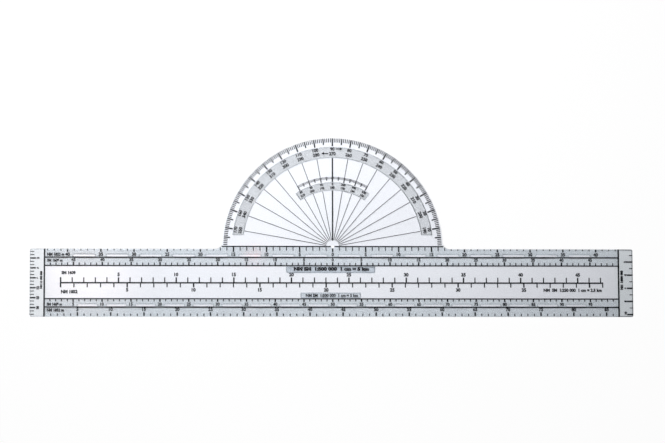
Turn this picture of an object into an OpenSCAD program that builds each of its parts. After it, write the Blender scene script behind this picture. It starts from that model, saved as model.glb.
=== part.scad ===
// Navigation plotter: a clear ruler with a semicircular protractor standing on its upper edge.
// One die-cut sheet carries two printed inks, a translucent tint and a dense line ink.
// Every graduation is worked out from the chart scale that it measures.
// The origin is the middle of the punched hole, on the face that lies on the chart.
// X runs along the ruler, Y towards the top of the protractor, Z out of the printed face.

/* [Sheet] */
// Thickness of the clear sheet
sheet_t = 0.76; // [0.5:0.02:1.5]
// Length of the ruler
ruler_l = 338; // [334:1:350]
// Width of the ruler
ruler_w = 38.1; // [38:0.1:42]
// Distance of the ruler's upper edge below the base line
ruler_drop = 1.4; // [1:0.1:2]
// Radius of the ruler's corners
corner_r = 1; // [0.3:0.1:3]
// Radius of the protractor's outer edge
dome_r = 61.95; // [61.8:0.05:64]
// Distance of the centre of that edge below the base line
dome_drop = 0.6; // [0:0.1:1]
// Radius of the hollow corner between protractor and ruler
fillet_r = 4; // [2.5:0.5:8]
// Radius of the hole punched at the centre of the protractor
hole_r = 0.75; // [0.5:0.05:1]

/* [Ink] */
// Thickness of one pass of ink
ink_t = 0.03; // [0.01:0.01:0.1]
// Width of a fine graduation on the protractor and on the ruler's upper edge
fine_w = 0.5; // [0.2:0.02:0.6]
// Width of a fine graduation in the other rows
row_fine_w = 0.54; // [0.2:0.02:0.6]
// Width of a fine graduation on the middle scale
centre_fine_w = 0.62; // [0.3:0.02:0.7]
// Width of a fine graduation on the scales at the two ends
end_fine_w = 0.44; // [0.2:0.02:0.6]
// Width of a numbered graduation
bold_w = 0.82; // [0.4:0.02:0.9]
// Width of the rules between the rows
rule_w = 0.7; // [0.3:0.02:0.8]
// Width of the middle scale's line
centre_rule_w = 0.82; // [0.3:0.02:0.9]
// Width of the bars at the two ends of the rows
bar_w = 0.9; // [0.5:0.1:1.5]
// Width of the protractor's thin rays
ray_w = 0.34; // [0.2:0.02:0.4]
// Width of the protractor's middle ray
north_w = 0.8; // [0.5:0.02:0.84]

/* [Rows] */
// Place of the rule between the two upper rows, below the base line
rule_1 = 6.15; // [6:0.05:6.5]
// Place of the rule under the upper rows
rule_2 = 10.83; // [10.5:0.05:11.5]
// Place of the rule over the lower rows
rule_3 = 29.45; // [29:0.05:30]
// Place of the rule between the two lower rows
rule_4 = 34.1; // [33.8:0.05:34.5]
// Place of the middle scale's line
centre_rule_drop = 20.5; // [19:0.1:22]
// Reach of the middle scale's graduations above that line's middle
centre_up = 3.05; // [2:0.05:3.5]
// Their reach below it
centre_down = 2.55; // [2:0.05:3.5]
// Place of the zero of the scales at the two ends, below the base line
end_zero = 1.1; // [1:0.05:1.6]
// Height above the cut edge at which the lowest graduations start
foot_gap = 0.45; // [0.2:0.05:0.8]
// Height of the clear windows between the numbers
window_h = 1.2; // [1:0.05:2]
// Length of a window in the nautical row
nautical_window_l = 11.9; // [8:0.5:12]
// Length of a window in the statute row
statute_window_l = 10.9; // [7:0.2:11]

/* [Boxes] */
// Length of the title box under the upper rows
title_l = 50; // [40:0.5:60]
// Height of the title box
title_h = 3.65; // [3:0.05:5]
// Radius of its two lower corners
title_corner = 1; // [0.5:0.1:1.5]
// Length of the caption box over the lower rows
caption_l = 33.8; // [30:0.1:45]
// Height of the caption box
caption_h = 3.3; // [2.5:0.1:4.5]
// Shift of both boxes to the right of the middle
box_shift = -1.2; // [-2:0.1:2]

/* [Protractor] */
// Inner radius of the one-degree graduations of the course scale
degree_r = 59; // [58.5:0.1:60]
// Inner radius of the five-degree graduations
five_r = 57.7; // [57.2:0.1:58.2]
// Width of a five-degree graduation
five_w = 0.72; // [0.4:0.02:0.8]
// Inner radius of the ten-degree graduations
ten_r = 56.85; // [56.7:0.05:57.1]
// Outer radius of the tinted band under the course numbers
band_r = 56.55; // [55:0.05:56.6]
// Inner radius of that band
band_in_r = 50.2; // [48:0.1:52]
// Height above the base line at which the band is cut off
band_foot = 6.4; // [5:0.1:9]
// Inner radius of the thin rays
ray_in_r = 3.7; // [3.6:0.1:8]
// Inner radius of the middle ray
north_in_r = 3.3; // [3:0.1:8]
// Half of the angle that the polar scale covers
polar_half = 30; // [20:10:40]
// Outer radius of the polar scale's graduations
polar_r = 39.5; // [38.6:0.1:42]
// Inner radius of its one-degree graduations
polar_degree_r = 38.1; // [37.5:0.1:38.4]
// Inner radius of its five-degree graduations
polar_five_r = 37.4; // [36.8:0.1:37.8]
// Width of its one-degree graduations
polar_fine_w = 0.34; // [0.2:0.02:0.4]
// Width of its five- and ten-degree graduations
polar_bold_w = 0.6; // [0.36:0.02:0.7]
// Outer radius of its tinted band
polar_band_r = 36.5; // [36:0.1:36.5]
// Inner radius of its tinted band
polar_band_in_r = 31.7; // [30:0.1:33]

/* [Hidden] */

clear_colour = [0.86, 0.9, 0.94, 0.45];
tint_colour = [0.62, 0.68, 0.74, 0.8];
line_colour = [0.13, 0.15, 0.2];

// The statute and the nautical mile in millimetres
statute_mile = 1609344;
nautical_mile = 1852000;

// One mile on a 1:500,000 chart, for the edges and the right end
statute_step = statute_mile / 500000;
nautical_step = nautical_mile / 500000;
// One mile on a 1:250,000 chart, for the scale along the middle
statute_wide = statute_mile / 250000;
nautical_wide = nautical_mile / 250000;
// One nautical mile on a 1:1,000,000 chart, for the left end
nautical_small = nautical_mile / 1000000;

// Steps from one number to the next, except at the ends
number_every = 5;
// The rows between the bars are exactly a hundred statute steps long
row_half = 50 * statute_step;
row_inner = row_half - bar_w / 2;

// The middle scale: its last graduations and half its length
centre_statute_n = 47;
centre_nautical_n = 41;
centre_half = centre_nautical_n * nautical_wide / 2;

// Levels and edges
film_z = sheet_t;
tint_top = sheet_t + ink_t;
top_edge = -ruler_drop;
bottom_edge = -ruler_drop - ruler_w;
half_l = ruler_l / 2;
trim = 0.1;       // graduations stay this far inside a cut edge
seam = 0.02;      // a bar's square end stays this far from a curved edge of the tint
overlap = 1;      // how deep joined outlines reach into each other
hole_gap = 1.05;  // radius round the hole that is left without ink

// Outer radius of the course scale, and half the angle that the polar scale's tinted band covers
course_r = dome_r - dome_drop - trim;
polar_end = polar_half + 4.7;

// Centre of the hollow corner's arc, and how far along the line to it that arc touches the protractor's
fillet_x = sqrt(pow(dome_r + fillet_r, 2) - pow(fillet_r + dome_drop - ruler_drop, 2));
fillet_y = top_edge + fillet_r;
fillet_touch = dome_r / (dome_r + fillet_r);
// Ends of the base line, just inside that hollow corner
base_half = fillet_x - sqrt(pow(fillet_r, 2) - pow(fillet_y - rule_w, 2)) - trim;

// Height of the sheet's edge beside the protractor, at a distance x from the middle
function edge_y(x) =
    x > fillet_x ? top_edge : fillet_y - sqrt(max(0, pow(fillet_r, 2) - pow(fillet_x - x, 2)));

$fn = 96;

// Outline of the sheet, drawn flat

module rounded_bar(l, w, r) {
    square([l - 2 * r, w], center = true);
    square([l, w - 2 * r], center = true);
    for (sx = [-1, 1], sy = [-1, 1])
        translate([sx * (l / 2 - r), sy * (w / 2 - r)]) circle(r);
}

module hollow_corner(side) {
    touch = [fillet_x * fillet_touch, fillet_touch * (fillet_y + dome_drop) - dome_drop];
    mirror([side < 0 ? 1 : 0, 0]) difference() {
        polygon([
            [fillet_x, top_edge - overlap], [fillet_x, fillet_y], touch,
            [touch[0] - overlap, top_edge - overlap]
        ]);
        translate([fillet_x, fillet_y]) circle(fillet_r);
    }
}

module sheet_outline() {
    translate([0, (top_edge + bottom_edge) / 2]) rounded_bar(ruler_l, ruler_w, corner_r);
    intersection() {
        translate([0, -dome_drop]) circle(dome_r);
        translate([-dome_r, top_edge - overlap]) square([2 * dome_r, 2 * dome_r]);
    }
    for (side = [-1, 1]) hollow_corner(side);
}

// Strokes of ink, each a flat bar lying on level z

module upright(x, y_from, y_to, w, z) {
    translate([x - w / 2, min(y_from, y_to), z]) cube([w, abs(y_to - y_from), ink_t]);
}

module level(x_from, x_to, y, w, z) {
    translate([min(x_from, x_to), y - w / 2, z]) cube([abs(x_to - x_from), w, ink_t]);
}

module spoke(angle, r_in, r_out, w, z) {
    rotate(angle) translate([r_in, -w / 2, z]) cube([r_out - r_in, w, ink_t]);
}

// One row of upright graduations: every step gets a fine one, every numbered step a bold one
module graduations(first, last, step, origin, y_from, y_fine, y_bold, z, w = row_fine_w) {
    for (k = [first:last]) {
        numbered = k % number_every == 0;
        upright(origin + k * step, y_from, numbered ? y_bold : y_fine, numbered ? bold_w : w, z);
    }
}

module ring(r_in, r_out) {
    difference() {
        circle(r_out, $fn = 180);
        circle(r_in, $fn = 180);
    }
}

// A clear window with round ends, standing on the line y
module window(x, y, l) {
    translate([x - l / 2 + window_h / 2, y]) square([l - window_h, window_h]);
    for (side = [-1, 1])
        translate([x + side * (l - window_h) / 2, y + window_h / 2]) circle(window_h / 2, $fn = 32);
}

// The sheet

module clear_sheet() {
    color(clear_colour) linear_extrude(sheet_t) difference() {
        sheet_outline();
        circle(hole_r);
    }
}

// The tint, printed first

module upper_tint() {
    floor_y = -rule_2 + rule_w / 2;
    numbers_x = number_every * nautical_step;
    color(tint_colour) translate([0, 0, film_z]) linear_extrude(ink_t) difference() {
        intersection() {
            sheet_outline();
            translate([-row_inner, floor_y]) square([2 * row_inner, -rule_w / 2 - floor_y]);
        }
        for (k = [-8:7])
            window((k + 0.5) * numbers_x, -rule_1 + rule_w / 2, nautical_window_l);
        circle(hole_gap, $fn = 32);
    }
}

module lower_tint() {
    roof_y = -rule_3 - rule_w / 2;
    numbers_x = number_every * statute_step;
    color(tint_colour) translate([0, 0, film_z]) linear_extrude(ink_t) difference() {
        translate([-row_inner, bottom_edge]) square([2 * row_inner, roof_y - bottom_edge]);
        for (k = [1:18])
            window((k + 0.5) * numbers_x - row_half, -rule_4 + rule_w / 2, statute_window_l);
    }
}

module title_tint() {
    roof_y = -rule_2 - rule_w / 2;
    straight_l = title_l - 2 * title_corner;
    color(tint_colour) translate([box_shift, roof_y, film_z]) linear_extrude(ink_t) {
        translate([-title_l / 2, title_corner - title_h]) square([title_l, title_h - title_corner]);
        translate([-straight_l / 2, -title_h]) square([straight_l, title_h]);
        for (side = [-1, 1])
            translate([side * straight_l / 2, title_corner - title_h]) circle(title_corner, $fn = 32);
    }
}

module caption_tint() {
    floor_y = -rule_3 + rule_w / 2;
    color(tint_colour) translate([box_shift - caption_l / 2, floor_y, film_z])
        cube([caption_l, caption_h, ink_t]);
}

module course_band_tint() {
    color(tint_colour) translate([0, 0, film_z]) linear_extrude(ink_t) intersection() {
        ring(band_in_r, band_r);
        translate([-dome_r, band_foot]) square([2 * dome_r, dome_r]);
    }
}

module polar_band_tint() {
    wedge_r = 2 * polar_band_r;
    wedge_x = wedge_r * sin(polar_end);
    wedge_y = wedge_r * cos(polar_end);
    color(tint_colour) translate([0, 0, film_z]) linear_extrude(ink_t) intersection() {
        ring(polar_band_in_r, polar_band_r);
        polygon([[0, 0], [wedge_x, wedge_y], [-wedge_x, wedge_y]]);
    }
}

// Line ink: frame lines

module end_bars() {
    color(line_colour) for (side = [-1, 1])
        upright(side * row_half, bottom_edge, top_edge, bar_w, film_z);
}

module row_rules() {
    color(line_colour) {
        for (y = [rule_1, rule_4]) level(-row_inner, row_inner, -y, rule_w, tint_top);
        for (y = [rule_2, rule_3]) level(-row_inner, row_inner, -y, rule_w, film_z);
    }
}

module base_line() {
    color(line_colour) for (side = [-1, 1])
        level(side * hole_gap, side * base_half, 0, rule_w, film_z);
}

// Line ink: straight scales

module upper_nautical_ticks() {
    last = 43;
    fine_y = -2.35;
    bold_y = -3.1;
    color(line_colour) for (k = [-last:last]) {
        x = k * nautical_step;
        numbered = k % number_every == 0;
        w = numbered ? bold_w : fine_w;
        head = k == 0 ? -hole_gap : min(-rule_w / 2, edge_y(abs(x) + w / 2) - trim);
        upright(x, head, numbered ? bold_y : fine_y, w, tint_top);
    }
}

module upper_statute_ticks() {
    foot = -rule_2 + rule_w / 2;
    fine_y = foot + 1.3;
    bold_y = foot + 1.7;
    color(line_colour) graduations(-49, 49, statute_step, 0, foot, fine_y, bold_y, tint_top);
}

module lower_statute_ticks() {
    head = -rule_3 - rule_w / 2;
    fine_y = head - 1.1;
    bold_y = head - 1.35;
    color(line_colour) graduations(1, 99, statute_step, -row_half, head, fine_y, bold_y, tint_top);
}

module lower_nautical_ticks() {
    foot = bottom_edge + foot_gap;
    fine_y = foot + 1.3;
    bold_y = foot + 2.1;
    color(line_colour) graduations(1, 86, nautical_step, -row_half, foot, fine_y, bold_y, tint_top);
}

module centre_rule() {
    y = -centre_rule_drop;
    color(line_colour) {
        level(-centre_half + bold_w / 2, centre_half + centre_fine_w / 2, y, centre_rule_w, film_z);
        upright(-centre_half, y - centre_down, y + centre_up, bold_w, film_z);
    }
}

module centre_statute_ticks() {
    foot = -centre_rule_drop + centre_rule_w / 2;
    top = -centre_rule_drop + centre_up;
    color(line_colour)
        graduations(1, centre_statute_n, statute_wide, -centre_half, foot, top, top, film_z, centre_fine_w);
}

module centre_nautical_ticks() {
    head = -centre_rule_drop - centre_rule_w / 2;
    low = -centre_rule_drop - centre_down;
    color(line_colour)
        graduations(1, centre_nautical_n, nautical_wide, -centre_half, head, low, low, film_z, centre_fine_w);
}

// A row down one end of the ruler: the graduations reach inwards from the edge
module end_graduations(side, last, step, fine_l, bold_l, bold_every) {
    edge = half_l - trim;
    for (k = [1:last]) {
        numbered = k % bold_every == 0;
        reach = numbered ? bold_l : fine_l;
        w = numbered ? bold_w : end_fine_w;
        level(side * edge, side * (edge - reach), -end_zero - k * step, w, film_z);
    }
}

module left_end_ticks() {
    color(line_colour) end_graduations(-1, 20, nautical_small, 2.3, 3.2, 3);
}

module right_end_ticks() {
    color(line_colour) end_graduations(1, 10, nautical_step, 1.9, 3.4, 2);
}

// Line ink: protractor

module course_degree_ticks() {
    color(line_colour) for (a = [1:179])
        if (a % 5 != 0) spoke(a, degree_r, course_r, fine_w, film_z);
}

module course_five_degree_ticks() {
    color(line_colour) for (a = [5:10:175]) spoke(a, five_r, course_r, five_w, film_z);
}

module course_ten_degree_ticks() {
    color(line_colour) for (a = [10:10:170]) spoke(a, ten_r, course_r, bold_w, film_z);
}

// A ray stops above the polar scale and starts again below its band
module broken_ray(a, w, r_in) {
    if (abs(a - 90) <= polar_half) {
        spoke(a, r_in, polar_band_in_r - seam, w, film_z);
        spoke(a, polar_r, band_in_r - seam, w, film_z);
    } else {
        spoke(a, r_in, band_in_r - seam, w, film_z);
    }
}

module course_rays() {
    color(line_colour) for (a = [10:10:170])
        if (a != 90) broken_ray(a, ray_w, ray_in_r);
}

module north_ray() {
    color(line_colour) broken_ray(90, north_w, north_in_r);
}

// An arrow that starts at [x, y] and points right
module arrow(x, y) {
    shaft_l = 2.3;
    shaft_w = 0.52;
    head_l = 1.5;
    head_w = 1.7;
    translate([x, y, tint_top]) linear_extrude(ink_t) polygon([
        [0, -shaft_w / 2], [shaft_l, -shaft_w / 2], [shaft_l, -head_w / 2], [shaft_l + head_l, 0],
        [shaft_l, head_w / 2], [shaft_l, shaft_w / 2], [0, shaft_w / 2]
    ]);
}

// The upper numbers are read to the right and the lower ones to the left
module course_arrows() {
    upper_row_r = band_r - 1.25;
    lower_row_r = band_r - 3.85;
    color(line_colour) {
        arrow(1.9, upper_row_r);
        mirror([1, 0, 0]) arrow(2.4, lower_row_r);
    }
}

module polar_degree_ticks() {
    color(line_colour) for (a = [90 - polar_half:90 + polar_half])
        if (a % 5 != 0) spoke(a, polar_degree_r, polar_r, polar_fine_w, film_z);
}

module polar_five_degree_ticks() {
    color(line_colour) for (a = [95 - polar_half:10:85 + polar_half])
        spoke(a, polar_five_r, polar_r, polar_bold_w, film_z);
}

module polar_ten_degree_ticks() {
    color(line_colour) for (a = [90 - polar_half:10:90 + polar_half])
        spoke(a, polar_band_r, polar_r, a == 90 ? north_w : polar_bold_w, film_z);
}

clear_sheet();
upper_tint();
lower_tint();
title_tint();
caption_tint();
course_band_tint();
polar_band_tint();
end_bars();
row_rules();
base_line();
upper_nautical_ticks();
upper_statute_ticks();
lower_statute_ticks();
lower_nautical_ticks();
centre_rule();
centre_statute_ticks();
centre_nautical_ticks();
left_end_ticks();
right_end_ticks();
course_degree_ticks();
course_five_degree_ticks();
course_ten_degree_ticks();
course_rays();
north_ray();
course_arrows();
polar_degree_ticks();
polar_five_degree_ticks();
polar_ten_degree_ticks();
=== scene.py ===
# %% [markdown]
# # A clear navigation plotter, dressed in Blender
# A pilot's plotter is a ruler with half a compass rose on its upper edge, cut out of one sheet of clear
# plastic. Two inks are printed on it: a see-through grey-blue tint, and a dense navy black for every line and
# number. The CAD model brings the sheet and each ink deposit as a solid of its own, in metres, with the
# punched centre hole at the origin, +X along the ruler and +Z out of the printed face.
# Blender adds what a solid can't say: how the plastic and the inks take light, and the printed numbers.

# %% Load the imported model
import math

import bpy
from mathutils import Matrix, Vector


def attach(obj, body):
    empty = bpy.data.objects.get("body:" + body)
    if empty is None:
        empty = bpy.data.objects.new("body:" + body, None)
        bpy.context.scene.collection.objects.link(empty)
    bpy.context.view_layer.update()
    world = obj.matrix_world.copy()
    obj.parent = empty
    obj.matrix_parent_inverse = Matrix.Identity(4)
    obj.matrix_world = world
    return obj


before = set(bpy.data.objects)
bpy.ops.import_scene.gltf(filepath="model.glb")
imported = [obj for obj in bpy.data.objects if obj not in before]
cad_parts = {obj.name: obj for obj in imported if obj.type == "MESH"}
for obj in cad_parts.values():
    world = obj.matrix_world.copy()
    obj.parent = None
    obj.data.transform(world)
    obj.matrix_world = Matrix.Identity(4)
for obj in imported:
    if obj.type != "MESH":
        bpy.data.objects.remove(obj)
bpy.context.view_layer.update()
MM = 0.001
print("CAD nodes:", len(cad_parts))

# %% [markdown]
# ## The camera
# A flat thing is photographed from above with a long lens, so that its two ends stay the same size. Here the
# lens stands 1.5 m up and leans a few degrees, which is why the ruler's upper edge looks a little shorter
# than its lower one. The turn is given as Euler angles, the way a copy stand is set: lean, roll and twist.
# A picture 36 mm wide with a 146 mm lens takes in 37 cm of the table.

# %% Camera
PICTURE_WIDTH = 665
camera = bpy.data.objects.new("copy_camera", bpy.data.cameras.new("copy_camera"))
camera.location = Vector((-63.3, -162.8, 1500.0)) * MM
camera.rotation_euler = [math.radians(angle) for angle in (6.732, -2.397, -0.167)]
camera.data.sensor_width = 36.0
camera.data.lens = 145.7
camera.data.clip_start = 0.01
camera.data.clip_end = 50.0
bpy.context.scene.collection.objects.link(camera)
bpy.context.scene.camera = camera
bpy.context.scene.view_settings.view_transform = "Standard"
seen = camera.data.sensor_width / camera.data.lens * camera.location.z / MM
print("the picture takes in", round(seen), "mm,", round(PICTURE_WIDTH / seen, 2), "pixels for each")

# %% [markdown]
# ## Two helpers for every material
# Colours are easiest to read off a picture as sRGB hex. Blender's sockets want linear light, so one function
# turns the first into the second. A second small function adds a node, sets its options and plugs in its
# inputs: a number or colour goes into the socket, and another node's output is linked to it.

# %% Colour and node helpers
def linear(hex_colour):
    """sRGB hex as linear red, green, blue and alpha."""
    parts = [int(hex_colour[i : i + 2], 16) / 255 for i in (1, 3, 5)]
    return [c / 12.92 if c <= 0.04045 else ((c + 0.055) / 1.055) ** 2.4 for c in parts] + [1.0]


def add(tree, kind, inputs=None, **options):
    """A node with its options set and its inputs filled or linked."""
    node = tree.nodes.new("ShaderNode" + kind)
    for name, value in options.items():
        setattr(node, name, value)
    for socket, value in (inputs or {}).items():
        if isinstance(value, bpy.types.NodeSocket):
            tree.links.new(value, node.inputs[socket])
        else:
            node.inputs[socket].default_value = value
    return node


def start_material(name):
    """A new material without nodes, and its node tree."""
    material = bpy.data.materials.new(name)
    material.use_nodes = True
    material.node_tree.nodes.clear()
    return material, material.node_tree


WHITE = linear("#FFFFFF")
print("mid grey #808080 in linear light:", round(linear("#808080")[0], 3))

# %% [markdown]
# ## The table
# The object lies on white board. The board is an ordinary matt surface, so it takes the plotter's own shadow
# and the fall of the light, and those are what the eye reads through clear plastic. A plain diffuse board
# would come out grey wherever the lamp is weak, so Light Path nodes turn it towards a white of strength 1:
# almost all the way for rays straight from the camera, where the rest keeps the shadow, and by a smaller
# share for rays that come off gloss or through plastic. The world does the same above the table.

# %% How white a ray finds the room
CAMERA_WHITE = 0.95
GLOSS_WHITE = 0.35
THROUGH_WHITE = 0.04


def white_share(tree):
    """The share of plain white, by the kind of ray that arrives."""
    path = add(tree, "LightPath")
    through = path.outputs["Is Transmission Ray"]
    # A ray that glossy plastic refracts is marked as glossy too, so transmission is taken off gloss.
    bounced = add(
        tree, "Math", {0: path.outputs["Is Glossy Ray"], 1: through}, operation="SUBTRACT", use_clamp=True
    )
    share = add(tree, "Math", {0: path.outputs["Is Camera Ray"], 1: CAMERA_WHITE}, operation="MULTIPLY")
    for ray, amount in ((bounced.outputs[0], GLOSS_WHITE), (through, THROUGH_WHITE)):
        share = add(tree, "Math", {0: ray, 1: amount, 2: share.outputs[0]}, operation="MULTIPLY_ADD")
    return share.outputs[0]


print("white for the camera:", CAMERA_WHITE, "off gloss:", GLOSS_WHITE, "through plastic:", THROUGH_WHITE)

# %% [markdown]
# The board is one large face. It lies a hair below the sheet, because two faces in one plane flicker.

# %% White board
BOARD_GAP = 0.02
HALF_BOARD = 3000.0

board_material, tree = start_material("matt_white_board")
matt = add(tree, "BsdfDiffuse", {"Color": linear("#F3F3F4"), "Roughness": 0.9})
white = add(tree, "Emission", {"Color": WHITE, "Strength": 1.0})
mixed = add(tree, "MixShader", {0: white_share(tree), 1: matt.outputs[0], 2: white.outputs[0]})
add(tree, "OutputMaterial", {"Surface": mixed.outputs[0]})

half, below = HALF_BOARD * MM, -BOARD_GAP * MM
corners = [(-half, -half, below), (half, -half, below), (half, half, below), (-half, half, below)]
board_mesh = bpy.data.meshes.new("board")
board_mesh.from_pydata(corners, [], [(0, 1, 2, 3)])
board_mesh.materials.append(board_material)
board = bpy.data.objects.new("board", board_mesh)
bpy.context.scene.collection.objects.link(board)
print("board", 2 * HALF_BOARD, "mm wide,", BOARD_GAP, "mm below the sheet")

# %% World
SURROUND = 0.04
world = bpy.data.worlds.new("studio_room")
world.use_nodes = True
bpy.context.scene.world = world
tree = world.node_tree
tree.nodes.clear()
room = add(tree, "Background", {"Color": WHITE, "Strength": SURROUND})
white = add(tree, "Background", {"Color": WHITE, "Strength": 1.0})
mixed = add(tree, "MixShader", {0: white_share(tree), 1: room.outputs[0], 2: white.outputs[0]})
add(tree, "OutputWorld", {"Surface": mixed.outputs[0]})
print("light from the room:", SURROUND)

# %% [markdown]
# ## The lamp
# One soft box hangs a metre above the upper left end. A grid in front of it narrows its beam, so the light
# falls off along the ruler: the left end is nearly white and the right end clearly greyer, and that fall is
# what makes a flat sheet look like a thing. The box is large, so that the shadow which each printed line
# throws through the sheet is too soft to look like a second line. Glossy plastic mirrors the box as well. It
# is aimed past the ruler and turned about its own axis, until its mirror image lies beside the plotter.
# An area lamp's power is spread over its size, so the two are set together.

# %% Soft box
# Places and the side in mm, the turn and the grid in degrees.
LAMP_PLACE, LAMP_AIM = (-300, 420, 1000), (-87, 184, 0)
LAMP_SIDE, LAMP_TURN = 400, 48
LAMP_WATTS, GRID_ANGLE = 1.87, 45.5

lamp = bpy.data.lights.new("left_soft_box", "AREA")
lamp.shape = "RECTANGLE"
lamp.size = lamp.size_y = LAMP_SIDE * MM
lamp.spread = math.radians(GRID_ANGLE)
lamp.energy = LAMP_WATTS
soft_box = bpy.data.objects.new("left_soft_box", lamp)
soft_box.location = Vector(LAMP_PLACE) * MM
aim = Vector(LAMP_AIM) * MM - soft_box.location
soft_box.rotation_euler = aim.to_track_quat("-Z", "Y").to_euler()
soft_box.rotation_euler.rotate_axis("Z", math.radians(LAMP_TURN))
bpy.context.scene.collection.objects.link(soft_box)
print("the soft box hangs", round(aim.length / MM), "mm from what it is aimed at")

# %% [markdown]
# A glossy sheet also mirrors what hangs over it. A warm pane hangs where its mirror image falls on the left
# end of the middle scale: there the lines look washed out, as they do under a lamp. Two small ones leave a
# pink glint each on the upper rows. A pane glows most in its middle and fades towards its rim, so the glare
# has no edge. Only gloss sees the panes: they are hidden from the camera, which would show them as discs from
# straight above, and they throw no shadow and no light on matt surfaces.

# %% Warm panes
PANE_SIDES = 48


def pane(name, place, radius, glow, colour):
    """A round glowing pane that faces down, with its place and radius in mm."""
    material, tree = start_material(name)
    away = add(tree, "VectorMath", {0: add(tree, "TexCoord").outputs["Object"]}, operation="LENGTH")
    fade = add(
        tree,
        "MapRange",
        {"Value": away.outputs["Value"], "From Max": radius * MM, "To Min": glow, "To Max": 0.0},
        interpolation_type="SMOOTHSTEP",
    )
    light = add(tree, "Emission", {"Color": linear(colour), "Strength": fade.outputs[0]})
    add(tree, "OutputMaterial", {"Surface": light.outputs[0]})
    turns = [-2 * math.pi * i / PANE_SIDES for i in range(PANE_SIDES)]
    rim = [(radius * MM * math.cos(a), radius * MM * math.sin(a), 0) for a in turns]
    mesh = bpy.data.meshes.new(name)
    mesh.from_pydata(rim, [], [range(PANE_SIDES)])
    mesh.materials.append(material)
    obj = bpy.data.objects.new(name, mesh)
    obj.location = Vector(place) * MM
    obj.visible_camera = obj.visible_shadow = obj.visible_diffuse = False
    bpy.context.scene.collection.objects.link(obj)
    print(name, 2 * radius, "mm wide")


pane("warm_pane", (-191, 78, 1000), radius=75, glow=2.2, colour="#FFE6DC")
pane("left_glint", (-189, 97, 1002), radius=14, glow=3.0, colour="#FF8F88")
pane("middle_glint", (-31, 99, 1000), radius=14, glow=3.0, colour="#FF9A92")

# %% [markdown]
# ## Clear polycarbonate sheet
# The blank is extruded polycarbonate 0.76 mm thick, cut with a steel-rule die. Its faces are glossy, but
# handling leaves a thin haze and hairline scratches, and extrusion leaves slow waves a few centimetres apart.
# To the eye they say that this is a used plastic sheet and not window glass. All three could be painted, but
# noise needs no picture and has a real size: its scale is one over the size of a feature in metres. For
# scratches the noise is stretched along one direction, and only its highest peaks are kept.

# %% Haze, scratches and waves of the sheet
# Sizes are in mm, the turn in degrees. Noise above SCRATCH_FROM is a scratch. The last line holds the
# roughness of clean and of hazy plastic, and what a scratch adds.
HAZE, WAVE = 30.0, 35.0
SCRATCH_LENGTH, SCRATCH_WIDTH, SCRATCH_TURN = 14.0, 0.35, 24
SCRATCH_FROM, SCRATCH_TO = 0.72, 0.80
CLEAN, HAZY, SCRATCHED = 0.03, 0.06, 0.15


def per_metre(millimetres):
    """The scale of a pattern whose features have this size."""
    return 1.0 / (millimetres * MM)


clear_sheet, tree = start_material("die_cut_polycarbonate")
place = add(tree, "TexCoord").outputs["Object"]
haze = add(tree, "TexNoise", {"Vector": place, "Scale": per_metre(HAZE), "Detail": 4.0})
wave = add(tree, "TexNoise", {"Vector": place, "Scale": per_metre(WAVE), "Detail": 1.0})
streaks = add(
    tree,
    "Mapping",
    {
        "Vector": place,
        "Rotation": (0, 0, math.radians(SCRATCH_TURN)),
        "Scale": (per_metre(SCRATCH_LENGTH), per_metre(SCRATCH_WIDTH), 1),
    },
)
scratch = add(tree, "TexNoise", {"Vector": streaks.outputs[0], "Scale": 1.0, "Detail": 1.0})
hairline = add(
    tree,
    "MapRange",
    {"Value": scratch.outputs[0], "From Min": SCRATCH_FROM, "From Max": SCRATCH_TO, "To Max": 1.0},
)
soft = add(
    tree,
    "MapRange",
    {"Value": haze.outputs[0], "From Min": 0.3, "From Max": 0.7, "To Min": CLEAN, "To Max": HAZY},
)
rough = add(
    tree, "Math", {0: hairline.outputs[0], 1: SCRATCHED, 2: soft.outputs[0]}, operation="MULTIPLY_ADD"
)
print("scratches", SCRATCH_LENGTH, "mm long, haze", HAZE, "mm and waves", WAVE, "mm apart")

# %% [markdown]
# The die crushes the rim a little, and the cut edge throws a thin shadow. From above the two read as a thin
# grey line, paler at the end near the lamp and weaker between the two ends of the ruler: crushed plastic, and
# painted shade of the edge and of the lamp's fall. A bevel would be the true shape, but it is far finer than
# a pixel, so the material works out how far each point lies inside the cut edge. A few nodes measure the
# distance to the ruler's straight sides and to the protractor's arc, and a smooth maximum joins the two as
# the hollow corners do.

# %% Distance from the cut edge
RULER_HALF, RULER_MIDDLE = (169.0, 19.05), (0.0, -20.45)
ARC_RADIUS, ARC_MIDDLE = 61.95, (0.0, -0.6)
CORNER_BLEND = 7.0


def inside(tree, vector):
    """Distance from the cut edge in metres, positive on the sheet."""
    middle = [v * MM for v in RULER_MIDDLE] + [0]
    half = [v * MM for v in RULER_HALF] + [1]
    centred = add(tree, "VectorMath", {0: vector, 1: middle}, operation="SUBTRACT")
    folded = add(tree, "VectorMath", {0: centred.outputs[0]}, operation="ABSOLUTE")
    spare = add(tree, "VectorMath", {0: half, 1: folded.outputs[0]}, operation="SUBTRACT")
    sides = add(tree, "SeparateXYZ", {0: spare.outputs[0]})
    ruler = add(tree, "Math", {0: sides.outputs[0], 1: sides.outputs[1]}, operation="MINIMUM")
    middle = [v * MM for v in ARC_MIDDLE] + [0]
    radius = add(tree, "VectorMath", {0: vector, 1: middle}, operation="DISTANCE")
    arc = add(tree, "Math", {0: ARC_RADIUS * MM, 1: radius.outputs["Value"]}, operation="SUBTRACT")
    joined = {0: ruler.outputs[0], 1: arc.outputs[0], 2: CORNER_BLEND * MM}
    return add(tree, "Math", joined, operation="SMOOTH_MAX").outputs[0]


print("cut edge: ruler", 2 * RULER_HALF[0], "by", 2 * RULER_HALF[1], "mm, arc of radius", ARC_RADIUS, "mm")
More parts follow.
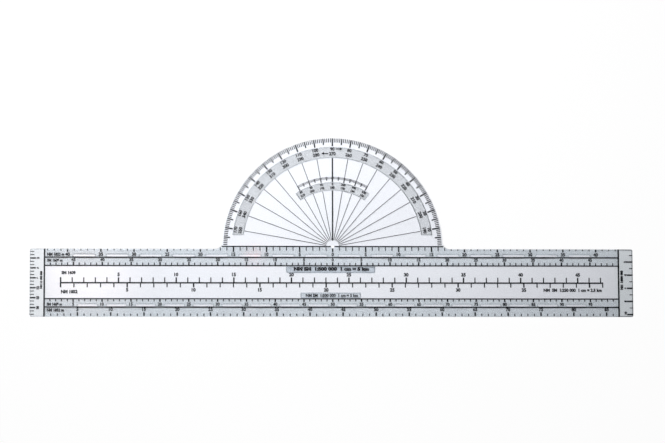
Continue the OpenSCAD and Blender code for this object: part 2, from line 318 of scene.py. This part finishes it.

# %% [markdown]
# Where that distance is under 0.65 mm, the plastic turns grey and duller. The dullness is the crushed rim,
# and the grey is partly painted shade, darker towards the end away from the lamp. Polycarbonate has a faint
# cold cast, and the two ends, where hands hold the ruler, are a shade duller than the middle.

# %% The crushed rim with its painted shade, and the handled ends
# The rim's width and fading in mm, its strength between the two ends, and its roughness.
RIM, RIM_FADE, RIM_MIDDLE, RIM_ROUGH = 0.65, 0.2, 0.35, 0.5
END_FROM, END_TO = 158.0, 162.0
HALF_LENGTH = 170.0

edge = inside(tree, place)
rim = add(
    tree,
    "MapRange",
    {
        "Value": edge,
        "From Min": (RIM - RIM_FADE) * MM,
        "From Max": RIM * MM,
        "To Min": 1.0,
        "To Max": 0.0,
    },
)
along = add(tree, "SeparateXYZ", {0: place}).outputs[0]
far = add(tree, "MapRange", {"Value": along, "From Min": -HALF_LENGTH * MM, "From Max": HALF_LENGTH * MM})
# Painted shade: the rim's grey darkens from the end near the lamp towards the far end.
rim_grey_and_shade = add(
    tree, "Mix", {0: far.outputs[0], 6: linear("#A6ABB0"), 7: linear("#70767B")}, data_type="RGBA"
)
reach = add(tree, "Math", {0: along}, operation="ABSOLUTE")
handled = add(
    tree, "MapRange", {"Value": reach.outputs[0], "From Min": END_FROM * MM, "From Max": END_TO * MM}
)
bulk = add(
    tree, "Mix", {0: handled.outputs[0], 6: linear("#F7F8FA"), 7: linear("#EFF3F3")}, data_type="RGBA"
)
rim_share = add(tree, "MapRange", {"Value": handled.outputs[0], "To Min": RIM_MIDDLE, "To Max": 1.0})
# Where the rim's grey shows: crushed plastic and painted shade of the cut edge.
crushed_and_shaded = add(tree, "Math", {0: rim.outputs[0], 1: rim_share.outputs[0]}, operation="MULTIPLY")
colour = add(
    tree, "Mix", {0: crushed_and_shaded.outputs[0], 6: bulk.outputs[2], 7: rim_grey_and_shade.outputs[2]}, data_type="RGBA"
)
worn = add(tree, "Mix", {0: rim.outputs[0], 2: rough.outputs[0], 3: RIM_ROUGH}, data_type="FLOAT")
print("crushed rim", RIM, "mm wide, duller ends from", END_FROM, "mm outwards")

# %% [markdown]
# The plastic itself is a glass-like shader with full transmission. Polycarbonate bends light more than
# acrylic or window glass does (IOR 1.585), which makes its faces brighter. Two bumps, one on the other,
# give the faces their slow waves and sink the scratches.
# Light that only passes through on its way to the board is let straight through, a little dimmed by the
# plastic's two faces: a renderer's glass would otherwise throw a black shadow.

# %% Material: die-cut polycarbonate
POLYCARBONATE_IOR = 1.585
# In mm.
WAVE_DEPTH, SCRATCH_DEPTH = 0.012, 0.003

swell = add(tree, "Bump", {"Height": wave.outputs[0], "Distance": WAVE_DEPTH * MM, "Strength": 1.0})
fine = add(
    tree,
    "Bump",
    {
        "Height": hairline.outputs[0],
        "Distance": SCRATCH_DEPTH * MM,
        "Strength": 0.6,
        "Normal": swell.outputs[0],
    },
    invert=True,
)
plastic = add(
    tree,
    "BsdfPrincipled",
    {
        "Base Color": colour.outputs[2],
        "Roughness": worn.outputs[0],
        "IOR": POLYCARBONATE_IOR,
        "Transmission Weight": 1.0,
        "Normal": fine.outputs[0],
    },
)
passed = add(tree, "BsdfTransparent", {"Color": linear("#F9FAFC")})
path = add(tree, "LightPath")
lit = add(
    tree, "Math", {0: path.outputs["Is Shadow Ray"], 1: path.outputs["Is Diffuse Ray"]}, operation="MAXIMUM"
)
mixed = add(tree, "MixShader", {0: lit.outputs[0], 1: plastic.outputs[0], 2: passed.outputs[0]})
add(tree, "OutputMaterial", {"Surface": mixed.outputs[0]})
print("polycarbonate:", len(tree.nodes), "nodes")

# %% [markdown]
# ## The two inks
# Both inks go on through a fine screen. A screen leaves a film only hundredths of a millimetre thick, with
# the screen's own mesh in it and slow clouds where the squeegee pressed more or less. Real mesh has about
# 120 threads in a centimetre, far too fine to show here, so it is drawn six times coarser. Two crossing
# waves, multiplied, give its threads.

# %% Mesh of the print screen
FILM = 0.76
INK = 0.03
MESH_PITCH = 0.5
WAVE_UNIT = 20.0


def screen_mesh(tree, vector):
    """The print screen's crossing threads, as a value from 0 to 1."""
    # A Wave texture of scale 1 repeats every 2 pi / 20 units.
    scale = 2 * math.pi / (WAVE_UNIT * MESH_PITCH * MM)
    threads = [
        add(
            tree, "TexWave", {"Vector": vector, "Scale": scale}, wave_type="BANDS", bands_direction=axis
        ).outputs["Fac"]
        for axis in ("X", "Y")
    ]
    return add(tree, "Math", {0: threads[0], 1: threads[1]}, operation="MULTIPLY").outputs[0]


print("ink lies", FILM, "mm up,", INK, "mm thick, with its mesh drawn at", MESH_PITCH, "mm")

# %% [markdown]
# The tint is clear varnish with a little dissolved pigment. It isn't even: squeegee pressure leaves clouds
# and grain a few per cent lighter or darker, and the tint is made a shade darker towards the left end and
# paler towards the right end. Its strength is therefore a number near 1 that the colour is multiplied by.

# %% Unevenness of the tint
# Sizes in mm, then how much of each pattern shows, and how pale the tint is in clouds and at the two ends of
# the ruler.
CLOUD, GRAIN = 9.0, 1.4
GRAIN_SHARE, MESH_SHARE = 0.5, 0.01
CLOUD_DARK, CLOUD_PALE = 0.985, 1.005
LEFT_END_LEVEL, RIGHT_END_LEVEL = 0.98, 1.02


def paleness(tree, place, grain, mesh_mark):
    """How pale the tint is at a point, 1 on average."""
    cloud = add(tree, "TexNoise", {"Vector": place, "Scale": per_metre(CLOUD), "Detail": 3.0})
    uneven = add(tree, "Math", {0: grain, 1: GRAIN_SHARE, 2: cloud.outputs[0]}, operation="MULTIPLY_ADD")
    clouds = add(
        tree,
        "MapRange",
        {
            "Value": uneven.outputs[0],
            "From Min": 0.5,
            "From Max": 1.0,
            "To Min": CLOUD_DARK,
            "To Max": CLOUD_PALE,
        },
    )
    mottled = add(tree, "Math", {0: mesh_mark, 1: MESH_SHARE, 2: clouds.outputs[0]}, operation="MULTIPLY_ADD")
    # Darker towards the left end and paler towards the right end.
    along_ruler = add(
        tree,
        "MapRange",
        {
            "Value": add(tree, "SeparateXYZ", {0: place}).outputs[0],
            "From Min": -HALF_LENGTH * MM,
            "From Max": HALF_LENGTH * MM,
            "To Min": LEFT_END_LEVEL,
            "To Max": RIGHT_END_LEVEL,
        },
    )
    return add(tree, "Math", {0: mottled.outputs[0], 1: along_ruler.outputs[0]}, operation="MULTIPLY").outputs[0]


print("tint: clouds", CLOUD, "mm and grain", GRAIN, "mm across")

# %% [markdown]
# The varnish colours the light that passes through it, once on the way down to the board and once on the way
# back up, and stays clear enough to read a chart through. A half-opaque paint could give the same tone, but
# its picture is grainy, because each ray picks paint or plastic at random. A Transparent shader with a colour
# has no choice to make. Fresnel adds the gloss of the varnish's face, and only a part of it, because the
# sheet below mirrors the room as well.
# Each deposit is a closed solid with an upper skin and an underside that differ only in height. Pigment
# counted on both would darken it twice, so only the upper skin has it.

# %% Material: screen-printed tint
VARNISH_IOR, VARNISH_GLOSS = 1.5, 0.4
MESH_RELIEF = 0.0005


def upper_skin(tree, place):
    """1 on a deposit's upper skin and 0 on its underside."""
    height = add(tree, "SeparateXYZ", {0: place}).outputs[2]
    return add(tree, "Math", {0: height, 1: (FILM + INK / 2) * MM}, operation="GREATER_THAN").outputs[0]


def tint(name, passes):
    """Varnish with dissolved pigment; passes is what one way through leaves of white light."""
    material, tree = start_material(name)
    place = add(tree, "TexCoord").outputs["Object"]
    grain = add(tree, "TexNoise", {"Vector": place, "Scale": per_metre(GRAIN), "Detail": 2.0}).outputs[0]
    mesh_mark = screen_mesh(tree, place)
    printed = add(
        tree,
        "VectorMath",
        {0: linear(passes)[:3], "Scale": paleness(tree, place, grain, mesh_mark)},
        operation="SCALE",
    )
    film = add(tree, "BsdfTransparent", {"Color": printed.outputs[0]})
    satin = add(tree, "MapRange", {"Value": grain, "To Min": 0.05, "To Max": 0.09})
    relief = add(tree, "Bump", {"Height": mesh_mark, "Distance": MESH_RELIEF * MM, "Strength": 0.5})
    gloss = add(tree, "BsdfGlossy", {"Roughness": satin.outputs[0], "Normal": relief.outputs[0]})
    face = add(tree, "Fresnel", {"IOR": VARNISH_IOR, "Normal": relief.outputs[0]})
    mirrored = add(tree, "Math", {0: face.outputs[0], 1: VARNISH_GLOSS}, operation="MULTIPLY")
    varnish = add(tree, "MixShader", {0: mirrored.outputs[0], 1: film.outputs[0], 2: gloss.outputs[0]})
    clear = add(tree, "BsdfTransparent", {"Color": WHITE})
    skins = {0: upper_skin(tree, place), 1: clear.outputs[0], 2: varnish.outputs[0]}
    add(tree, "OutputMaterial", {"Surface": add(tree, "MixShader", skins).outputs[0]})
    print(name, "lets", passes, "through")
    return material


# %% [markdown]
# One ink gives several tones, because the film isn't equally thick everywhere. The arcs are a little darker
# than the rows, the box of the title darker still, and the small box below it paler. The painted shade along
# an edge lies on ink that is already tinted, so it adds very little.

# %% Five strengths of tint
tint_ink = tint("screen_printed_tint", "#EEF1F2")
arc_ink = tint("screen_printed_tint_arcs", "#EBECEC")
caption_ink = tint("screen_printed_tint_caption", "#EFF2F4")
title_ink = tint("screen_printed_tint_title", "#E5E9EC")
# Painted shade: a faint darker tint for the outlines of the tinted areas and windows.
edge_shade_ink = tint("screen_printed_tint_edge_shade", "#F5F7F8")

# %% [markdown]
# The line ink is the same kind of film with far more pigment. It hides what is behind it, and only a little
# of the screen's mesh shows in its satin face. Where the squeegee left less, the navy turns slightly lighter.
# On the real plotter the lines throw hardly any shadow through the sheet, less than a lamp of this size
# gives, so the material lets most of the lamp's light by.

# %% Material: screen-printed line ink
INK_IOR, INK_SPECULAR, INK_RELIEF = 1.5, 0.15, 0.003
SHADOW_LET_BY = 0.85

line_ink, tree = start_material("screen_printed_line_ink")
place = add(tree, "TexCoord").outputs["Object"]
grain = add(tree, "TexNoise", {"Vector": place, "Scale": per_metre(GRAIN), "Detail": 3.0}).outputs[0]
thin = add(tree, "MapRange", {"Value": grain, "From Min": 0.45, "From Max": 0.75})
colour = add(
    tree, "Mix", {0: thin.outputs[0], 6: linear("#07090F"), 7: linear("#131823")}, data_type="RGBA"
)
satin = add(tree, "MapRange", {"Value": grain, "To Min": 0.35, "To Max": 0.55})
mesh_mark = screen_mesh(tree, place)
relief = add(tree, "Bump", {"Height": mesh_mark, "Distance": INK_RELIEF * MM, "Strength": 0.5})
enamel = add(
    tree,
    "BsdfPrincipled",
    {
        "Base Color": colour.outputs[2],
        "Roughness": satin.outputs[0],
        "IOR": INK_IOR,
        "Specular IOR Level": INK_SPECULAR,
        "Normal": relief.outputs[0],
    },
)
path = add(tree, "LightPath")
let_by = add(tree, "Math", {0: path.outputs["Is Shadow Ray"], 1: SHADOW_LET_BY}, operation="MULTIPLY")
clear = add(tree, "BsdfTransparent", {"Color": WHITE})
mixed = add(tree, "MixShader", {0: let_by.outputs[0], 1: enamel.outputs[0], 2: clear.outputs[0]})
add(tree, "OutputMaterial", {"Surface": mixed.outputs[0]})
print("line ink: grain", GRAIN, "mm across,", SHADOW_LET_BY, "of the lamp's light let by")

# %% [markdown]
# ## Finishes on the CAD nodes
# The shapes of the sheet and of each deposit are right as they come, so each only gets its finish. The node
# names say which: the sheet, the six tinted areas, and everything else in line ink.

# %% Dress the CAD nodes
TINTED = sorted(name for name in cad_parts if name.endswith("_tint"))
FINISHES = {name: tint_ink for name in TINTED}
FINISHES.update(
    clear_sheet=clear_sheet,
    title_tint=title_ink,
    caption_tint=caption_ink,
    course_band_tint=arc_ink,
    polar_band_tint=arc_ink,
)

for name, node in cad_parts.items():
    node.data.materials.clear()
    node.data.materials.append(FINISHES.get(name, line_ink))
print("tinted:", TINTED)

# %% [markdown]
# ## Painted shade along the edge of the tint
# Along its edge a tinted area throws a thin shadow through the sheet. That shadow is painted as a faintly
# darker outline, a low band of tint on the deposit: painted shade. The upper faces of the CAD node say where
# it goes: an edge that belongs to only one of them is part of the outline. These edges are chained into
# loops. A loop runs with the ink on its left, so one round a hole turns the other way than one round an area.

# %% Outlines of a deposit
def outlines(mesh):
    """Closed loops of points in mm round the upper faces, with the ink on the left of the way round."""
    steps = set()
    for face in mesh.polygons:
        if face.normal.z > 0.5:
            corners = [tuple(round(v / MM, 5) for v in mesh.vertices[i].co[:2]) for i in face.vertices]
            for step in zip(corners, corners[1:] + corners[:1]):
                if step[::-1] in steps:
                    steps.remove(step[::-1])
                else:
                    steps.add(step)
    following = dict(steps)
    loops = []
    while following:
        first, point = following.popitem()
        loop = [first]
        while point != first:
            loop.append(point)
            point = following.pop(point)
        loops.append([Vector(p) for p in loop])
    return loops


def is_window(loop):
    """True for an outline that goes round a hole in the ink."""
    return sum(a.cross(b) for a, b in zip(loop, loop[1:] + loop[:1])) < 0


loops = outlines(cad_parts["upper_tint"].data)
print("upper_tint has", len(loops), "outlines,", sum(map(is_window, loops)), "of them windows")


# %% Ink from loops
def shifted(loop, distance):
    """The loop moved to its left by a distance, with sharp corners kept sharp."""
    moved = []
    for before, here, after in zip(loop[-1:] + loop[:-1], loop, loop[1:] + loop[:1]):
        sides = [Vector((-way.y, way.x)).normalized() for way in (here - before, after - here)]
        moved.append(here + (sides[0] + sides[1]) * distance / (1 + sides[0].dot(sides[1])))
    return moved


def ring(lines, first):
    """Faces between closed lines of points of one length, the last joined to the first."""
    count = len(lines[0])
    faces = []
    for k in range(len(lines)):
        here, there = first + k * count, first + (k + 1) % len(lines) * count
        for i in range(count):
            j = (i + 1) % count
            faces.append((here + i, there + i, there + j, here + j))
    return faces


def slab(name, points, faces, material):
    """A piece of tint ink from points in mm and faces."""
    mesh = bpy.data.meshes.new(name)
    mesh.from_pydata([Vector(p) * MM for p in points], [], faces)
    mesh.materials.append(material)
    piece = bpy.data.objects.new(name, mesh)
    bpy.context.scene.collection.objects.link(piece)
    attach(piece, "root")
    print(name, "has", len(faces), "faces")


# %% [markdown]
# Each loop is shifted into the ink by two distances, and a flat band of tint fills the space between, a few
# thousandths of a millimetre proud of the film: the painted shade of the edge. A rounded band would catch the
# lamp as a row of sparks. The two rows end at the rules and at the cut edge, where no such outline shows, so
# there only the windows get one.

# %% Painted shade round the boxes, bands and windows
ROWS = ("upper_tint", "lower_tint")
# How far the painted shade lies inside the outline, and its lowest and highest level, in mm.
EDGE_SHADE_FROM, EDGE_SHADE_TO = 0.15, 0.5
EDGE_SHADE_FOOT, EDGE_SHADE_TOP = FILM + 0.004, FILM + INK + 0.006
SECTION = (
    (EDGE_SHADE_FROM, EDGE_SHADE_FOOT),
    (EDGE_SHADE_TO, EDGE_SHADE_FOOT),
    (EDGE_SHADE_TO, EDGE_SHADE_TOP),
    (EDGE_SHADE_FROM, EDGE_SHADE_TOP),
)


def bead(name):
    """A band of tint along the outlines of a tinted area, as painted shade of its edge."""
    points, faces = [], []
    for loop in outlines(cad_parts[name].data):
        if is_window(loop) or name not in ROWS:
            lines = [[(p.x, p.y, level) for p in shifted(loop, inset)] for inset, level in SECTION]
            faces += ring(lines, len(points))
            points += sum(lines, [])
    slab(name + "_edge_shade", points, faces, edge_shade_ink)


for name in TINTED:
    bead(name)

# %% [markdown]
# The squeegee also drags a little ink over the foot of each window in the rows. Those strips follow the
# window's own outline, cut off level, and the strips of a row are one piece.

# %% Feet of the windows
FOOT_HEIGHT = 0.3


def window_feet(name):
    """Strips of ink over the lowest part of each window of a row."""
    points, faces = [], []
    for loop in filter(is_window, outlines(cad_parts[name].data)):
        level_of_foot = min(p.y for p in loop) + FOOT_HEIGHT
        top = max(range(len(loop)), key=lambda i: loop[i].y)
        low = [p for p in loop[top:] + loop[:top] if p.y < level_of_foot][::-1]
        first, count = len(points), len(low)
        points += [(p.x, p.y, level) for level in (FILM, FILM + INK) for p in low]
        faces += [tuple(range(first, first + count))[::-1], tuple(range(first + count, first + 2 * count))]
        sides = [(first + i, first + (i + 1) % count) for i in range(count)]
        faces += [(i, j, j + count, i + count) for i, j in sides]
    slab(name + "_feet", points, faces, tint_ink)


for name in ROWS:
    window_feet(name)

# %% [markdown]
# ## Chart arithmetic
# Every number stands where its scale puts it, so the places come from the same arithmetic as the marks. A
# nautical mile is 1852 m and a statute mile 1609.344 m. Divided by the chart's scale, that is the step of a
# ruler: 3.704 mm for a nautical mile on a 1:500 000 chart, and twice as much at 1:250 000. The rows start at
# the left end bar, fifty statute miles from the middle, and the middle scale a little further in.

# %% Steps of the scales, in millimetres
NAUTICAL = 1852.0 * 1000 / 500_000
STATUTE = 1609.344 * 1000 / 500_000
ROW_START = -50 * STATUTE
CENTRE_INDENT = 9.07
CENTRE_START = ROW_START + CENTRE_INDENT
print("one nautical mile:", round(NAUTICAL, 3), "mm; one statute mile:", round(STATUTE, 3), "mm")

# %% [markdown]
# ## Writing the numbers
# Printed figures are ink too, a film as thick as the lines. Each starts as a text object in Blender's own
# plain font, is given the film's thickness and turned into a mesh, and then all the figures of one scale are
# joined into one piece, because they go on in one pull of the squeegee. The writer takes each label as text,
# place, height and turn. The weight thickens the strokes, as the spreading of wet ink does, and the squeeze
# makes the letters narrower or wider.

# %% One label
CURVE_STEPS = 3


def figure_mesh(text, weight):
    """One label as a mesh about its own middle, 1 high before it is placed."""
    curve = bpy.data.curves.new("figure", "FONT")
    curve.body = text
    curve.align_x, curve.align_y = "CENTER", "CENTER"
    curve.extrude = INK * MM / 2
    curve.offset = weight
    curve.resolution_u = CURVE_STEPS
    obj = bpy.data.objects.new("figure", curve)
    bpy.context.scene.collection.objects.link(obj)
    mesh = bpy.data.meshes.new_from_object(obj.evaluated_get(bpy.context.evaluated_depsgraph_get()))
    bpy.data.objects.remove(obj)
    low, high = ([end(v.co[i] for v in mesh.vertices) for i in range(2)] for end in (min, max))
    mesh.transform(Matrix.Translation((-(low[0] + high[0]) / 2, -(low[1] + high[1]) / 2, 0)))
    mesh.transform(Matrix.Diagonal((1 / (high[1] - low[1]), 1 / (high[1] - low[1]), 1, 1)))
    return mesh


sample = figure_mesh("0", 0.0)
print("a zero is", round(2 * max(v.co.x for v in sample.vertices), 2), "times as wide as it is high")
bpy.data.meshes.remove(sample)


# %% One piece of labels
def write(name, labels, film=FILM, weight=0.045, squeeze=1.0):
    """A piece of ink from labels, each (text, x, y, height, turn in degrees), all in mm, lying on film."""
    vertices, faces = [], []
    for text, x, y, height, turn in labels:
        figure = figure_mesh(text, weight)
        place = (
            Matrix.Translation((x * MM, y * MM, (film + INK / 2) * MM))
            @ Matrix.Rotation(math.radians(turn), 4, "Z")
            @ Matrix.Diagonal((height * squeeze * MM, height * MM, 1, 1))
        )
        first = len(vertices)
        vertices += [place @ v.co for v in figure.vertices]
        faces += [[first + i for i in face.vertices] for face in figure.polygons]
        bpy.data.meshes.remove(figure)
    mesh = bpy.data.meshes.new(name)
    mesh.from_pydata(vertices, [], faces)
    mesh.materials.append(line_ink)
    piece = bpy.data.objects.new(name, mesh)
    bpy.context.scene.collection.objects.link(piece)
    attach(piece, "root")
    print(name, "has", len(labels), "labels and", len(faces), "faces")


# %% [markdown]
# ## The straight scales
# The two upper rows count both ways from the middle of the ruler, so that a course can be measured from the
# protractor's centre. The two lower rows and the pair in the clear middle count from the left. Figures over
# the tint lie one film higher than those on bare plastic.

# %% Numbers of the straight scales
OVER_TINT = FILM + INK
BOLD = 0.055


def both_ways(step, last, y, height):
    """Labels at every fifth mile to the left and right of the centre hole."""
    labels = [("0", 0.0, y, height, 0.0)]
    for number in range(5, last + 1, 5):
        labels += [(str(number), side * number * step, y, height, 0.0) for side in (-1, 1)]
    return labels


def from_left(start, step, last, y, height):
    """Labels at every fifth mile from the start of a scale."""
    return [(str(n), start + n * step, y, height, 0.0) for n in range(5, last + 1, 5)]


write("upper_nautical_numbers", both_ways(NAUTICAL, 40, y=-4.47, height=2.0), OVER_TINT)
write("upper_statute_numbers", both_ways(STATUTE, 45, y=-7.5, height=1.85), OVER_TINT)
write("lower_statute_numbers", from_left(ROW_START, STATUTE, 95, y=-32.45, height=1.85), OVER_TINT)
write("lower_nautical_numbers", from_left(ROW_START, NAUTICAL, 85, y=-35.35, height=2.0), OVER_TINT)
for name, step, last, y in (("statute", STATUTE, 45, -15.83), ("nautical", NAUTICAL, 35, -24.4)):
    labels = from_left(CENTRE_START, 2 * step, last, y, height=2.1)
    write("centre_" + name + "_numbers", labels, weight=BOLD)

# %% [markdown]
# The short scales at the two ends are read with the ruler standing up, so their figures are turned a
# quarter. The left one has half the step of the rows, for charts at 1:1 000 000. The last figure of the right
# one would run over the cut edge, so it stands a little higher than its mark.

# %% Numbers of the end scales
END_ZERO = -1.1
LOWEST_FIGURE = -37.3
SMALL_BOLD = 0.09
left = [(str(n), -164.5, END_ZERO - n * NAUTICAL / 2, 1.65, 90.0) for n in range(3, 19, 3)]
right = [(str(n), 164.7, max(END_ZERO - n * NAUTICAL, LOWEST_FIGURE), 1.5, 90.0) for n in range(2, 11, 2)]
write("left_end_numbers", left, weight=SMALL_BOLD)
write("right_end_numbers", right, weight=SMALL_BOLD)

# %% [markdown]
# ## The protractor
# A course line can be flown two ways, so each ray carries two figures half a turn apart: the outer row runs
# from 10 at the right to 170 at the left, and the inner row adds 180 to each. Every figure is turned with its
# ray. The small arc near the centre reads the same courses from a line of latitude instead of a meridian, a
# quarter turn away.

# %% Numbers round the protractor
COURSES, POLAR_ANGLES = range(10, 180, 10), range(60, 121, 10)
COURSE_OUTER, COURSE_INNER, COURSE_HEIGHT = 55.25, 52.6, 1.95
POLAR_OUTER, POLAR_INNER, POLAR_HEIGHT = 35.4, 33.35, 1.4


def on_ray(number, angle, radius, height):
    """A label on a ray from the centre hole, upright along the ray."""
    turn = math.radians(angle)
    return (str(number), radius * math.cos(turn), radius * math.sin(turn), height, angle - 90.0)


course_numbers = [on_ray(a, a, COURSE_OUTER, COURSE_HEIGHT) for a in COURSES]
course_numbers += [on_ray(a + 180, a, COURSE_INNER, COURSE_HEIGHT) for a in COURSES]
polar_numbers = [on_ray((a - 90) % 360, a, POLAR_OUTER, POLAR_HEIGHT) for a in POLAR_ANGLES]
polar_numbers += [on_ray((a + 90) % 360, a, POLAR_INNER, POLAR_HEIGHT) for a in POLAR_ANGLES]
write("course_numbers", course_numbers, OVER_TINT)
write("polar_numbers", polar_numbers, OVER_TINT, weight=0.06)

# %% [markdown]
# ## Units and chart scales
# Each row says which mile it counts. The marks are the plain unit signs, NM for nautical and SM for statute
# miles, with the metres that they stand for, and the boxes carry the scale of the chart as a ratio.

# %% Unit marks and ratios
write(
    "row_units",
    [
        ("NM 1852 m", -154.7, -4.5, 1.8, 0.0),
        ("SM 1609 m", -155.2, -7.9, 1.8, 0.0),
        ("SM 1609 m", -155.2, -32.5, 1.8, 0.0),
        ("NM 1852 m", -154.7, -35.8, 1.8, 0.0),
    ],
    OVER_TINT,
    weight=0.06,
    squeeze=0.9,
)
write(
    "centre_units",
    [("SM 1609", -147.5, -14.85, 1.95, 0.0), ("NM 1852", -147.0, -25.5, 2.0, 0.0)],
    weight=0.065,
)
RATIO = "NM SM  1:500 000  1 cm = 5 km"
write("title_ratio", [(RATIO, -0.75, -12.6, 2.2, 0.0)], OVER_TINT, weight=0.08, squeeze=1.25)
write("caption_ratio", [(RATIO, -0.5, -27.5, 1.75, 0.0)], OVER_TINT)
write("centre_ratio", [("NM  SM  1:250 000  1 cm = 2.5 km", 134.9, -24.5, 1.9, 0.0)], weight=0.06)
write(
    "end_ratios",
    [("NM 1:1 000 000", -162.7, -18.9, 1.35, 90.0), ("NM  1:500 000", 162.7, -18.7, 1.6, 90.0)],
    weight=0.1,
)
